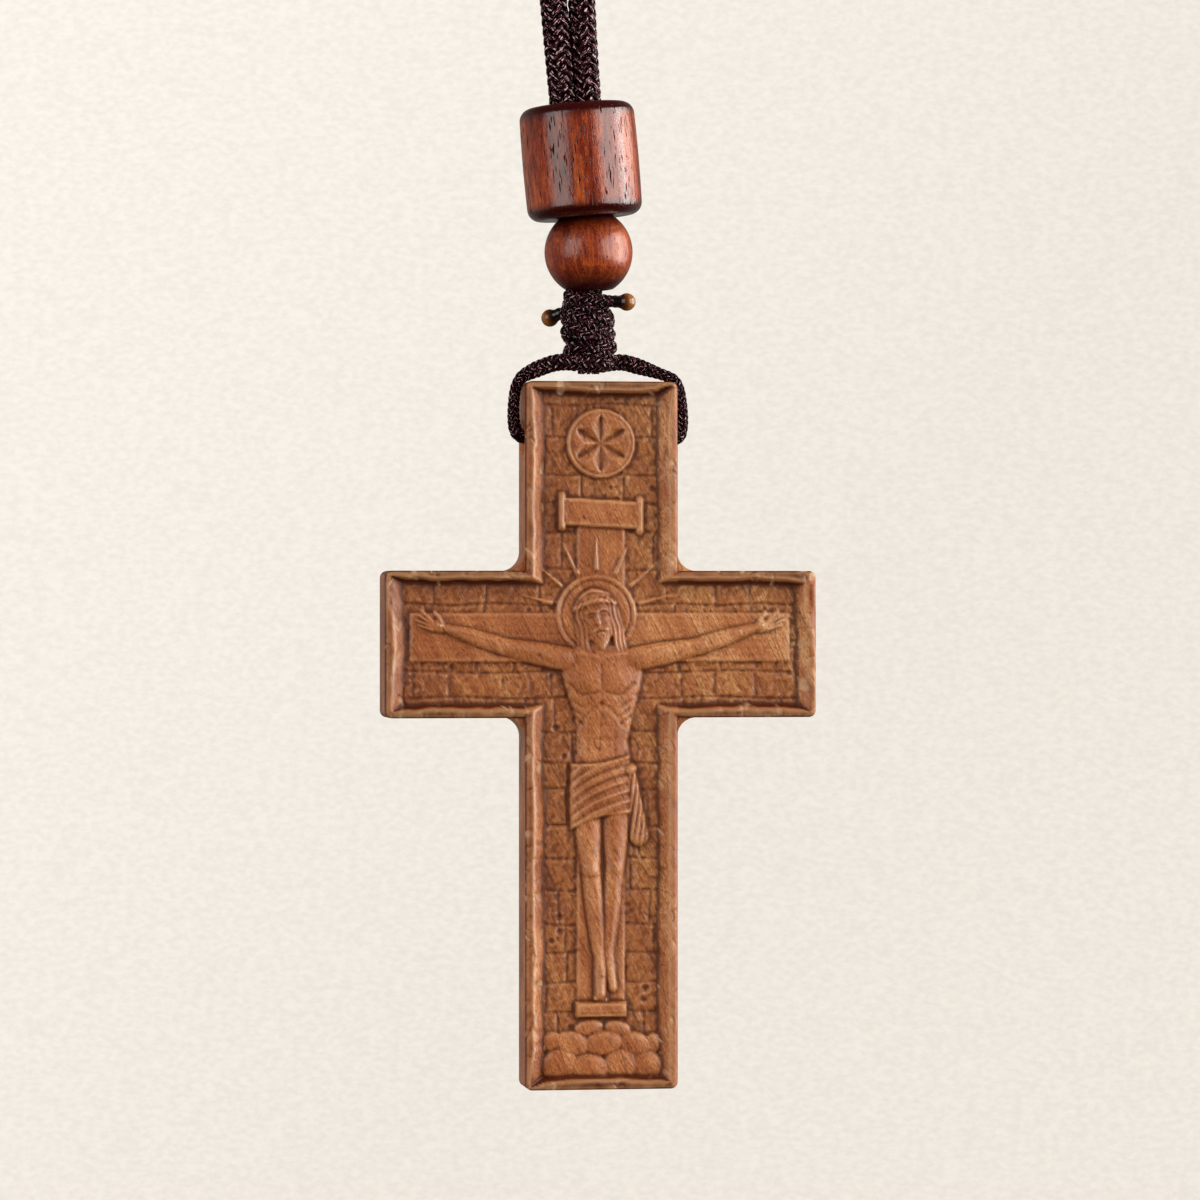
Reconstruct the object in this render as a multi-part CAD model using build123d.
from build123d import *
from math import cos, hypot, pi, radians, sin, sqrt, tan
import os

# Hanging crucifix. A carved hardwood cross swings on a thin cord that passes from side to side
# through its head. The two ends of that cord are wound round the end of a thicker hanging cord
# and melted to small balls, and two turned beads slide on the hanging cord above the winding.
# Millimetres, +Z up, the carved front faces -Y. The origin is where a hook bears on the inside of
# the hanging loop.

# Cross
CROSS_HEIGHT = 80.0
CROSS_SPAN = 49.2
UPRIGHT_WIDTH = 17.4
CROSSBAR_HEIGHT = 16.6
HEAD_LENGTH = 21.4
CROSS_THICKNESS = 6.5
OUTER_CORNER_RADIUS = 0.8
INNER_CORNER_RADIUS = 2.2
FRONT_EDGE_ROUND = 0.3
BACK_EDGE_ROUND = 0.5

# Sunk panel and the raised frame round it
PANEL_DEPTH = 1.3
FRAME_STEP = 0.9
RIM_WIDTH = 0.9
SIDE_SLOPE = 1.3
END_SLOPE = 0.55

# Corpus in low relief, drawn from the middle of the crossing for a figure 46 mm high. Each end of a
# limb is across, up, half width at the ground and share of the relief's height, and each row of a
# body is up, half width and share.
FIGURE_HEIGHT = 46.0
RELIEF_HEIGHT = 1.07
HEAD_TILT = 11.0
HEAD_MIDDLE = (-0.55, 3.3)
HAIR = (0, 0.35, 2.6, 0.85)
FACE = (0, -0.35, 1.95, 1.0)
BEARD = (0, -2.5, 1.4, 0.88)
HAIR_LOCK = [(1.95, 0.4, 0.95, 0.70), (2.5, -4.2, 0.62, 0.56)]
NECK = [(-0.1, -1.7, 1.4, 0.75), (-0.4, 1.1, 1.4, 0.80)]
ARM = [(4.0, -1.6, 1.45, 0.80), (11.4, -0.2, 1.02, 0.67)]
FOREARM = [(11.2, -0.2, 1.15, 0.69), (17.5, 1.8, 0.68, 0.52)]
HAND = [(18.2, 2.0, 0.85, 0.58), (20.3, 2.9, 0.62, 0.42)]
THUMB = [(18.3, 2.6, 0.42, 0.38), (18.9, 3.6, 0.36, 0.32)]
LEFT_THIGH = [(-1.7, -16.3, 1.85, 0.89), (-1.15, -25.6, 1.3, 0.91)]
LEFT_SHIN = [(-1.15, -25.3, 1.35, 0.89), (-0.15, -35.7, 0.86, 0.67)]
LEFT_FOOT = [(-0.1, -35.5, 0.86, 0.67), (-0.1, -39.6, 0.98, 0.89)]
RIGHT_THIGH = [(1.75, -16.3, 1.85, 0.86), (1.55, -25.3, 1.25, 0.84)]
RIGHT_SHIN = [(1.55, -25.1, 1.3, 0.81), (0.75, -35.3, 0.84, 0.58)]
RIGHT_FOOT = [(0.85, -35.2, 0.82, 0.56), (1.35, -38.8, 0.76, 0.67)]
TORSO = [
    (-0.3, 3.2, 0.67),
    (-1.3, 4.6, 0.80),
    (-2.8, 4.7, 0.91),
    (-4.8, 4.35, 0.95),
    (-7.8, 3.45, 0.86),
    (-10.8, 2.85, 0.73),
    (-14.2, 3.3, 0.79),
]
LOINCLOTH = [(-13.2, 3.4, 0.95), (-15.0, 3.65, 1.05), (-17.4, 3.75, 1.05), (-19.6, 3.6, 0.97)]
CLOTH_KNOT = (3.25, -14.2, 1.15, 1.0)
CLOTH_END = [(3.35, -14.6, 1.0, 0.73), (4.3, -21.4, 1.2, 0.58)]

# What the corpus is set against: beams, halo and rays, blank name plate, rosette, foot rest, rocks
BEAM_WIDTH = 5.5
BEAM_HEIGHT = 0.24
BEAM_SPAN = 43.4
BEAM_TOP = 13.4
BEAM_RAISE = 0.8
HALO_DIAMETER = 9.2
HALO_HEIGHT = 0.3
RAY_COUNT = 7
RAY_SPREAD = 150.0
RAY_LENGTH = 4.2
RAY_WIDTH = 0.7
RAY_HEIGHT = 0.2
RAY_GAP = 0.4
PLATE_WIDTH = 8.6
PLATE_LENGTH = 3.1
PLATE_HEIGHT = 0.56
PLATE_DEPTH = 14.9
PLATE_TILT = 3.0
ROLL_DIAMETER = 1.0
ROLL_LENGTH = 3.6
ROLL_HEIGHT = 0.75
ROSETTE_DIAMETER = 7.8
ROSETTE_HEIGHT = 0.42
ROSETTE_DEPTH = 7.0
PETAL_COUNT = 6
PETAL_LENGTH = 3.0
PETAL_WIDTH = 1.5
PETAL_START = 0.3
PETAL_SINK = 0.3
FOOT_REST_WIDTH = 5.8
FOOT_REST_LENGTH = 1.7
FOOT_REST_HEIGHT = 0.86
FOOT_REST_DEPTH = 71.0
ROCK_COUNT = 4
ROCK_ROWS = 2
ROCK_DIAMETER = 4.0
ROCK_HEIGHT = 0.6
ROCK_PITCH = 3.35
ROCK_RISE = 2.4
ROCK_FOOT = 2.7
MASS_ROOT = 0.4

# Hole for the thin cord, from side to side through the head of the cross
HOLE_DEPTH = 6.4
HOLE_CLEARANCE = 0.35
MOUTH_FLARE = 1.0
MOUTH_DEPTH = 1.1

# Thin cord, its winding and its melted ends
BAIL_DIAMETER = 1.75
BAIL_SIDE_GAP = 0.2
SWING_CLEARANCE = 0.18
BAIL_RISE = 0.2
WRAP_HALF_TURNS = 3
WRAP_GAP = 0.66
WRAP_SEAT = 0.08
TAIL_REACH = 2.75
LEFT_TAIL_DROP = 1.2
RIGHT_TAIL_DROP = 0.1
LEFT_TAIL_SETBACK = 1.9
MELTED_BALL_DIAMETER = 2.0
MELTED_NECK_DIAMETER = 1.3
MELTED_NECK_LENGTH = 0.5

# Thick hanging cord
STRAND_DIAMETER = 3.0
STRAND_GAP = 0.05
STRAND_SHOWN = 19.0
LOOP_WIDTH = 20.2
LOOP_CROWN = 8.4
LOOP_SIDE = 9.4
LOOP_SPREAD = 15.0

# The same cord squeezed inside the round bead and the winding
CORE_STRAND_DIAMETER = 1.85
CORE_RADIUS = 1.2
CORE_OVERLAP = 0.8

# Beads
BEAD_DIAMETER = 10.0
BARREL_DIAMETER = 13.2
BARREL_LENGTH = 12.8
BARREL_BELLY = 0.12
BARREL_RIM_ROUND = 1.4
BORE_CLEARANCE = 0.18
BORE_EDGE_ROUND = 0.25
BEAD_GAP = 0.15

# How the pieces hang: the beads lean to the left and the winding stands left of the cross's middle
LEAN_ANGLE = 5.0
WINDING_OFFSET = 1.1

os.makedirs("parts", exist_ok=True)


def bend_radii(points, share=0.45):
    """Radius at each inner point: as large as the two runs beside it allow."""
    radii = []
    for before, here, after in zip(points, points[1:], points[2:]):
        arriving = Vector(*here) - Vector(*before)
        leaving = Vector(*after) - Vector(*here)
        half_turn = radians(arriving.get_angle(leaving) / 2)
        radii.append(share * min(arriving.length, leaving.length) / tan(half_turn))
    return radii


def tube(path, diameter, name):
    """A round cord along a path of lines and arcs, with its volume compared with the plain sum."""
    start = Plane(origin=path @ 0, z_dir=path % 0)
    solid = sweep(start * Circle(diameter / 2), path=path)
    plain = pi * diameter**2 / 4 * path.length
    print(f"{name}: length {path.length:.1f} mm, volume {solid.volume / plain:.4f} of section times length")
    return solid


# Heights above the top of the cross, from what each piece rests on
half_thickness = CROSS_THICKNESS / 2
swing_reach = FRONT_EDGE_ROUND + hypot(HOLE_DEPTH - FRONT_EDGE_ROUND, half_thickness - FRONT_EDGE_ROUND)
bail_height = swing_reach - HOLE_DEPTH + SWING_CLEARANCE + BAIL_DIAMETER / 2
wrap_start = bail_height + BAIL_RISE
wrap_pitch = 2 * (BAIL_DIAMETER + WRAP_GAP)
wrap_end = wrap_start + WRAP_HALF_TURNS / 2 * wrap_pitch
wrap_radius = CORE_RADIUS + WRAP_SEAT + BAIL_DIAMETER / 2

core_offset = (CORE_STRAND_DIAMETER + STRAND_GAP) / 2
bead_bore_radius = core_offset + CORE_STRAND_DIAMETER / 2 + BORE_CLEARANCE
bead_flat = sqrt((BEAD_DIAMETER / 2) ** 2 - bead_bore_radius**2)
bead_height = wrap_end + BAIL_DIAMETER / 2 + BEAD_GAP + bead_flat

strand_offset = (STRAND_DIAMETER + STRAND_GAP) / 2
strand_foot = bead_flat + BEAD_GAP
barrel_bore_radius = strand_offset + STRAND_DIAMETER / 2 + BORE_CLEARANCE
seat_reach = BEAD_DIAMETER / 2 + BEAD_GAP + BORE_EDGE_ROUND
barrel_bottom = sqrt(seat_reach**2 - (barrel_bore_radius + BORE_EDGE_ROUND) ** 2) - BORE_EDGE_ROUND

# Route of the hanging cord, as half a loop: across and along the leaning axis from the round bead
loop_shoulder = barrel_bottom + BARREL_LENGTH + STRAND_SHOWN
loop_crown = loop_shoulder + LOOP_SPREAD + LOOP_SIDE + (LOOP_WIDTH - LOOP_CROWN) / 2
loop_half = [
    (strand_offset, strand_foot),
    (strand_offset, loop_shoulder),
    (LOOP_WIDTH / 2, loop_shoulder + LOOP_SPREAD),
    (LOOP_WIDTH / 2, loop_shoulder + LOOP_SPREAD + LOOP_SIDE),
    (LOOP_CROWN / 2, loop_crown),
]
bearing_height = loop_crown - STRAND_DIAMETER / 2

# Places in the part's frame
lean_axis = Vector(-sin(radians(LEAN_ANGLE)), 0, cos(radians(LEAN_ANGLE)))
bead_centre = lean_axis * -bearing_height
lean_plane = Plane(origin=bead_centre, x_dir=(lean_axis.Z, 0, -lean_axis.X), z_dir=lean_axis)
cross_top = bead_centre.Z - bead_height
cross_place = Pos(bead_centre.X + WINDING_OFFSET, 0, cross_top)
winding_place = Pos(bead_centre.X, 0, cross_top)


# Cross

def cross_face(side_inset, end_inset, level):
    """Cross outline drawn in by one width along upright edges and another along level ones."""
    half = UPRIGHT_WIDTH / 2 - side_inset
    span = CROSS_SPAN / 2 - side_inset
    bar_top = -HEAD_LENGTH - end_inset
    bar_bottom = -HEAD_LENGTH - CROSSBAR_HEIGHT + end_inset
    foot = -CROSS_HEIGHT + end_inset
    right = [
        (half, -end_inset),
        (half, bar_top),
        (span, bar_top),
        (span, bar_bottom),
        (half, bar_bottom),
        (half, foot),
    ]
    left = [(-x, z) for x, z in reversed(right)]
    plane = Plane(origin=(0, level, 0), x_dir=(1, 0, 0), z_dir=(0, -1, 0))
    return plane * make_face(Polyline(*right, *left, close=True))


def inner_corners(face):
    """The four corners where the arms meet the upright."""
    bar = (-HEAD_LENGTH - CROSSBAR_HEIGHT, -HEAD_LENGTH)
    on_bar = face.vertices().filter_by(lambda v: min(abs(v.Z - z) for z in bar) < 0.01)
    return on_bar.filter_by(lambda v: abs(abs(v.X) - UPRIGHT_WIDTH / 2) < 0.01)


def make_cross():
    back = CROSS_THICKNESS / 2
    front = -CROSS_THICKNESS / 2
    step = front + FRAME_STEP
    outline = cross_face(0, 0, back)
    corners = inner_corners(outline)
    outline = fillet(outline.vertices() - corners, OUTER_CORNER_RADIUS)
    webbed = fillet(inner_corners(outline), INNER_CORNER_RADIUS)
    body = extrude(webbed, back - step)
    frame = Pos(0, step - back, 0) * extrude(outline, FRAME_STEP)
    body = fillet(body.faces().sort_by(Axis.Y)[-1].edges(), BACK_EDGE_ROUND)
    frame = fillet(frame.faces().sort_by(Axis.Y)[0].edges(), FRONT_EDGE_ROUND)
    mouth = cross_face(RIM_WIDTH, RIM_WIDTH, front)
    ground = cross_face(RIM_WIDTH + SIDE_SLOPE, RIM_WIDTH + END_SLOPE, front + PANEL_DEPTH)
    panel = loft([mouth, ground], ruled=True)
    block = body + frame - panel - side_hole()
    return block.fuse(*corpus(), *setting())


# Relief on the panel, each mass rooted in the ground that it stands on

ground_level = PANEL_DEPTH - CROSS_THICKNESS / 2
crossing = -HEAD_LENGTH - CROSSBAR_HEIGHT / 2
figure_unit = FIGURE_HEIGHT / 46


def cap_radius(half_width, height):
    """Radius of the round whose top stands this high and is this wide at the ground."""
    return (half_width**2 + height**2) / (2 * height)


def spindle(ends, side=1):
    """A tapering round bar between two points, sunk so that it has its half width at the ground."""
    places = []
    radii = []
    for x, z, half_width, share in ends:
        height = share * RELIEF_HEIGHT
        radius = cap_radius(half_width * figure_unit, height)
        sunk = ground_level + radius - height
        places.append(Vector(side * x * figure_unit, sunk, crossing + z * figure_unit))
        radii.append(radius)
    way = places[1] - places[0]
    length = way.length
    lean = (radii[0] - radii[1]) / length
    rise = sqrt(1 - lean**2)
    corners = [
        (-radii[0], 0),
        (radii[0] * lean, radii[0] * rise),
        (length + radii[1] * lean, radii[1] * rise),
        (length + radii[1], 0),
    ]
    start_tangent = TangentArc(corners[0], corners[1], tangent=(0, 1))
    side_line = Line(corners[1], corners[2])
    end_tangent = TangentArc(corners[3], corners[2], tangent=(0, 1))
    axis_line = Line(corners[3], corners[0])
    profile = make_face([start_tangent, side_line, end_tangent, axis_line])
    bar = revolve(profile, Axis.X)
    return Plane(origin=places[0], x_dir=way, z_dir=way.cross(Vector(0, 1, 0))) * bar


def cap(x, z, half_width, height):
    """A low round boss on the ground."""
    edge = TangentArc((0, height), (half_width, 0), tangent=(1, 0))
    wall = Line((half_width, 0), (half_width, -MASS_ROOT))
    root = Line((half_width, -MASS_ROOT), (0, -MASS_ROOT))
    axis = Line((0, -MASS_ROOT), (0, height))
    boss = revolve(Plane.XZ * make_face([edge, wall, root, axis]), Axis.Z)
    return Plane(origin=(x, ground_level, z), x_dir=(1, 0, 0), z_dir=(0, -1, 0)) * boss


def plate(x, z, width, length, height, tilt=0):
    """A flat plate on the ground."""
    block = Rot(0, tilt, 0) * Box(width, height + MASS_ROOT, length)
    return Pos(x, ground_level + (MASS_ROOT - height) / 2, z) * block


def lofted_mass(rows):
    """A body whose half width and height change from row to row."""
    sections = []
    for z, half_width, share in rows:
        half_width *= figure_unit
        height = share * RELIEF_HEIGHT
        front = ThreePointArc((-half_width, 0), (0, -height), (half_width, 0))
        root = Polyline(
            (half_width, 0),
            (half_width, MASS_ROOT),
            (-half_width, MASS_ROOT),
            (-half_width, 0),
        )
        middle = (0, ground_level, crossing + z * figure_unit)
        place = Plane(origin=middle, x_dir=(1, 0, 0), z_dir=(0, 0, 1))
        sections.append(place * make_face([front, *root.edges()]))
    return loft(sections)


def head_point(u, v):
    """A place on the bent head, from its middle, in the figure's own units."""
    turn = radians(HEAD_TILT)
    return (
        HEAD_MIDDLE[0] + u * cos(turn) - v * sin(turn),
        HEAD_MIDDLE[1] + u * sin(turn) + v * cos(turn),
    )


def figure_cap(x, z, half_width, share):
    height = share * RELIEF_HEIGHT
    return cap(x * figure_unit, crossing + z * figure_unit, half_width * figure_unit, height)


def hair_lock(side):
    return spindle([(*head_point(side * u, v), half, share) for u, v, half, share in HAIR_LOCK])


def corpus():
    """Head, trunk, arms, loincloth and legs."""
    masses = [lofted_mass(TORSO), lofted_mass(LOINCLOTH), spindle(NECK)]
    for side in (-1, 1):
        for bar in (ARM, FOREARM, HAND, THUMB):
            masses.append(spindle(bar, side))
        masses.append(hair_lock(side))
    for bar in (LEFT_THIGH, LEFT_SHIN, LEFT_FOOT, RIGHT_THIGH, RIGHT_SHIN, RIGHT_FOOT, CLOTH_END):
        masses.append(spindle(bar))
    masses.append(figure_cap(*CLOTH_KNOT))
    for u, v, half_width, share in (HAIR, FACE, BEARD):
        masses.append(figure_cap(*head_point(u, v), half_width, share))
    return masses


def disc(x, z, diameter, height):
    """A flat round plate on the ground."""
    drum = Cylinder(diameter / 2, height + MASS_ROOT)
    return Pos(x, ground_level + (MASS_ROOT - height) / 2, z) * Rot(90, 0, 0) * drum


def rosette():
    """A disc with sunk petals round its middle."""
    lens = make_face([
        ThreePointArc((0, 0), (PETAL_LENGTH / 2, PETAL_WIDTH / 2), (PETAL_LENGTH, 0)),
        ThreePointArc((PETAL_LENGTH, 0), (PETAL_LENGTH / 2, -PETAL_WIDTH / 2), (0, 0)),
    ])
    front = Plane(
        origin=(0, ground_level - ROSETTE_HEIGHT, -ROSETTE_DEPTH),
        x_dir=(1, 0, 0),
        z_dir=(0, -1, 0),
    )
    carved = disc(0, -ROSETTE_DEPTH, ROSETTE_DIAMETER, ROSETTE_HEIGHT)
    for petal in range(PETAL_COUNT):
        turned = Rot(0, 0, 90 + 360 / PETAL_COUNT * petal) * Pos(PETAL_START, 0, 0) * lens
        carved -= extrude(front * turned, -PETAL_SINK)
    return carved


def rays(x, z):
    """Wedges that fan out above the halo, each from a little way off its rim to a point."""
    start = HALO_DIAMETER / 2 + RAY_GAP
    wedge = make_face(
        Polyline((start, -RAY_WIDTH / 2), (start, RAY_WIDTH / 2), (start + RAY_LENGTH, 0), close=True)
    )
    root = Plane(origin=(x, ground_level + MASS_ROOT, z), x_dir=(1, 0, 0), z_dir=(0, -1, 0))
    found = []
    for ray in range(RAY_COUNT):
        turn = 90 + RAY_SPREAD * (ray / (RAY_COUNT - 1) - 0.5)
        found.append(extrude(root * Rot(0, 0, turn) * wedge, MASS_ROOT + RAY_HEIGHT))
    return found


def rocks():
    """Staggered rows of rounded rocks at the foot."""
    found = []
    for row in range(ROCK_ROWS):
        count = ROCK_COUNT - row
        height = ROCK_FOOT + ROCK_RISE * row - CROSS_HEIGHT
        for place in range(count):
            across = (place - (count - 1) / 2) * ROCK_PITCH
            found.append(cap(across, height, ROCK_DIAMETER / 2, ROCK_HEIGHT))
    return found


def name_plate():
    """A blank plate between two rolled ends."""
    tilted = Rot(0, PLATE_TILT, 0)
    roll = Cylinder(ROLL_DIAMETER / 2, ROLL_LENGTH)
    roll_level = ground_level - ROLL_HEIGHT + ROLL_DIAMETER / 2
    found = [plate(0, -PLATE_DEPTH, PLATE_WIDTH, PLATE_LENGTH, PLATE_HEIGHT, PLATE_TILT)]
    for side in (-1, 1):
        end = tilted * Pos(side * PLATE_WIDTH / 2, 0, 0) * roll
        found.append(Pos(0, roll_level, -PLATE_DEPTH) * end)
    return found


def setting():
    """What the corpus is set against."""
    post_length = FOOT_REST_DEPTH - BEAM_TOP
    post_middle = -(FOOT_REST_DEPTH + BEAM_TOP) / 2
    head_x = HEAD_MIDDLE[0] * figure_unit
    head_z = crossing + HEAD_MIDDLE[1] * figure_unit
    return [
        plate(0, post_middle, BEAM_WIDTH, post_length, BEAM_HEIGHT),
        plate(0, crossing + BEAM_RAISE, BEAM_SPAN, BEAM_WIDTH, BEAM_HEIGHT),
        plate(0, -FOOT_REST_DEPTH, FOOT_REST_WIDTH, FOOT_REST_LENGTH, FOOT_REST_HEIGHT),
        disc(head_x, head_z, HALO_DIAMETER, HALO_HEIGHT),
        rosette(),
        *rays(head_x, head_z),
        *name_plate(),
        *rocks(),
    ]


def side_hole():
    """Hole from side to side with a flared mouth at each end, where the cord turns upwards."""
    radius = BAIL_DIAMETER / 2 + HOLE_CLEARANCE
    half = UPRIGHT_WIDTH / 2
    profile = Polyline(
        (0, 0),
        (radius, 0),
        (radius, half - MOUTH_DEPTH),
        (radius + MOUTH_FLARE, half),
        (0, half),
        close=True,
    )
    half_hole = revolve(Plane.XZ * make_face(profile), Axis.Z)
    axis_place = Pos(0, 0, -HOLE_DEPTH) * Rot(0, 90, 0)
    return axis_place * (half_hole + mirror(half_hole, Plane.XY))


# Beads

def make_round_bead():
    bead = Sphere(BEAD_DIAMETER / 2) - Cylinder(bead_bore_radius, BEAD_DIAMETER)
    bore_edges = bead.edges().filter_by(GeomType.CIRCLE)
    return lean_plane * fillet(bore_edges, BORE_EDGE_ROUND)


def make_barrel_bead():
    radius = BARREL_DIAMETER / 2
    rim = radius - BARREL_BELLY
    foot = Line((barrel_bore_radius, 0), (rim, 0))
    side = ThreePointArc((rim, 0), (radius, BARREL_LENGTH / 2), (rim, BARREL_LENGTH))
    head = Line((rim, BARREL_LENGTH), (barrel_bore_radius, BARREL_LENGTH))
    wall = Line((barrel_bore_radius, BARREL_LENGTH), (barrel_bore_radius, 0))
    profile = make_face([foot, side, head, wall])
    profile = fillet(profile.vertices().group_by(Axis.X)[-1], BARREL_RIM_ROUND)
    profile = fillet(profile.vertices().group_by(Axis.X)[0], BORE_EDGE_ROUND)
    bead = revolve(Plane.XZ * profile, Axis.Z)
    return lean_plane * Pos(0, 0, barrel_bottom) * bead


# Hanging cord

def make_hanging_cord():
    route = [(x, 0, z) for x, z in loop_half]
    route += [(-x, 0, z) for x, z in reversed(loop_half)]
    radii = bend_radii(route)
    print("hanging_cord radii:", [round(radius, 1) for radius in radii])
    return lean_plane * tube(FilletPolyline(*route, radius=radii), STRAND_DIAMETER, "hanging_cord")


def make_cord_core():
    """Two squeezed strands through the round bead, joined to a rod inside the winding."""
    foot = -bead_flat - CORE_OVERLAP
    strand = Cylinder(
        CORE_STRAND_DIAMETER / 2,
        strand_foot - foot,
        align=(Align.CENTER, Align.CENTER, Align.MIN),
    )
    pair = Pos(core_offset, 0, foot) * strand + Pos(-core_offset, 0, foot) * strand
    strands = lean_plane * pair
    rod_foot = wrap_start - BAIL_DIAMETER / 2
    rod_length = bead_height - bead_flat - BEAD_GAP - rod_foot
    rod = Cylinder(CORE_RADIUS, rod_length, align=(Align.CENTER, Align.CENTER, Align.MIN))
    return strands + winding_place * Pos(0, 0, rod_foot) * rod


# Thin cord

def biarc(start, start_way, end, end_way):
    """Two arcs that leave one point along one direction and reach another along a second."""
    chord = end - start
    ways = start_way + end_way
    turn = 2 * (1 - start_way.dot(end_way))
    reach = (sqrt(chord.dot(ways) ** 2 + turn * chord.dot(chord)) - chord.dot(ways)) / turn
    middle = (start + start_way * reach + end - end_way * reach) / 2
    first = TangentArc(start, middle, tangent=start_way)
    return [first, TangentArc(middle, end, tangent=first % 1)]


def winding_path(first_angle, tail):
    """Half turns climbing round the core, with a straight lead at the foot and a tail at the top."""
    half_rise = wrap_pitch / 2
    slope = half_rise / (pi * wrap_radius)
    places = []
    ways = []
    for quarter in range(WRAP_HALF_TURNS * 2 + 1):
        angle = radians(first_angle + 90 * quarter)
        height = wrap_start + half_rise * quarter / 2
        places.append(Vector(wrap_radius * cos(angle), wrap_radius * sin(angle), height))
        ways.append(Vector(-sin(angle), cos(angle), slope).normalized())
    ways[0] = Vector(ways[0].X, ways[0].Y, 0).normalized()
    ways[-1] = Vector(ways[-1].X, ways[-1].Y, 0).normalized()
    lead = Line(places[0] - ways[0] * BAIL_DIAMETER, places[0])
    tip = places[-1] + tail
    end_run = Line(tip - tail.normalized() * BAIL_DIAMETER, tip)
    places.append(end_run @ 0)
    ways.append(end_run % 0)
    turns = []
    for index in range(len(places) - 1):
        turns += biarc(places[index], ways[index], places[index + 1], ways[index + 1])
    return Wire([piece.edge() for piece in [lead, *turns, end_run]])


def least_gap(path, diameter):
    """Least gap between stretches of one winding that lie more than half a turn apart."""
    steps = 160
    points = [path @ (step / steps) for step in range(steps + 1)]
    apart = int(steps * pi * wrap_radius / path.length) + 1
    gaps = [
        (points[one] - points[two]).length - diameter
        for one in range(steps + 1)
        for two in range(one + apart, steps + 1)
    ]
    return min(gaps)


def make_melted_end(path):
    """A tapered neck and a ball where the cut end of the cord was melted."""
    ball_radius = MELTED_BALL_DIAMETER / 2
    neck = Cone(
        BAIL_DIAMETER / 2,
        MELTED_NECK_DIAMETER / 2,
        MELTED_NECK_LENGTH,
        align=(Align.CENTER, Align.CENTER, Align.MIN),
    )
    neck += Pos(0, 0, MELTED_NECK_LENGTH) * Cylinder(
        MELTED_NECK_DIAMETER / 2,
        ball_radius,
        align=(Align.CENTER, Align.CENTER, Align.MIN),
    )
    ball = Pos(0, 0, MELTED_NECK_LENGTH + ball_radius * 0.8) * Sphere(ball_radius)
    return Plane(origin=path @ 1, z_dir=path % 1) * (neck + ball)


left_path = winding_path(-90, Vector(-TAIL_REACH, LEFT_TAIL_SETBACK, -LEFT_TAIL_DROP))
right_path = winding_path(90, Vector(TAIL_REACH, 0, -RIGHT_TAIL_DROP))


def make_bail_cord():
    """The free stretch: from one winding over a top corner, through the hole and up the other side."""
    place = Vector(WINDING_OFFSET, 0, 0)
    side = UPRIGHT_WIDTH / 2 + BAIL_SIDE_GAP + BAIL_DIAMETER / 2
    left_start = left_path @ 0 - place
    right_start = right_path @ 0 - place
    route = [
        left_start,
        Vector(left_start.X - BAIL_DIAMETER, left_start.Y, left_start.Z),
        Vector(-side, 0, bail_height),
        Vector(-side, 0, -HOLE_DEPTH),
        Vector(side, 0, -HOLE_DEPTH),
        Vector(side, 0, bail_height),
        Vector(right_start.X + BAIL_DIAMETER, right_start.Y, right_start.Z),
        right_start,
    ]
    radii = bend_radii(route)
    radii[1] = radii[2] = radii[3] = radii[4] = BAIL_DIAMETER
    print("bail_cord radii:", [round(radius, 1) for radius in radii])
    return cross_place * tube(FilletPolyline(*route, radius=radii), BAIL_DIAMETER, "bail_cord")


nodes = {
    "cross_body": cross_place * make_cross(),
    "round_bead": make_round_bead(),
    "barrel_bead": make_barrel_bead(),
    "hanging_cord": make_hanging_cord(),
    "cord_core": make_cord_core(),
    "bail_cord": make_bail_cord(),
    "winding_left": winding_place * tube(left_path, BAIL_DIAMETER, "winding_left"),
    "winding_right": winding_place * tube(right_path, BAIL_DIAMETER, "winding_right"),
    "melted_end_left": winding_place * make_melted_end(left_path),
    "melted_end_right": winding_place * make_melted_end(right_path),
}

print("least gap in a winding:", round(least_gap(left_path, BAIL_DIAMETER), 2))
print("cross top:", cross_place.position, "lean axis:", lean_axis, "round bead:", bead_centre)

for name, solid in nodes.items():
    solid.label = name
    export_step(solid, f"parts/{name}.step")
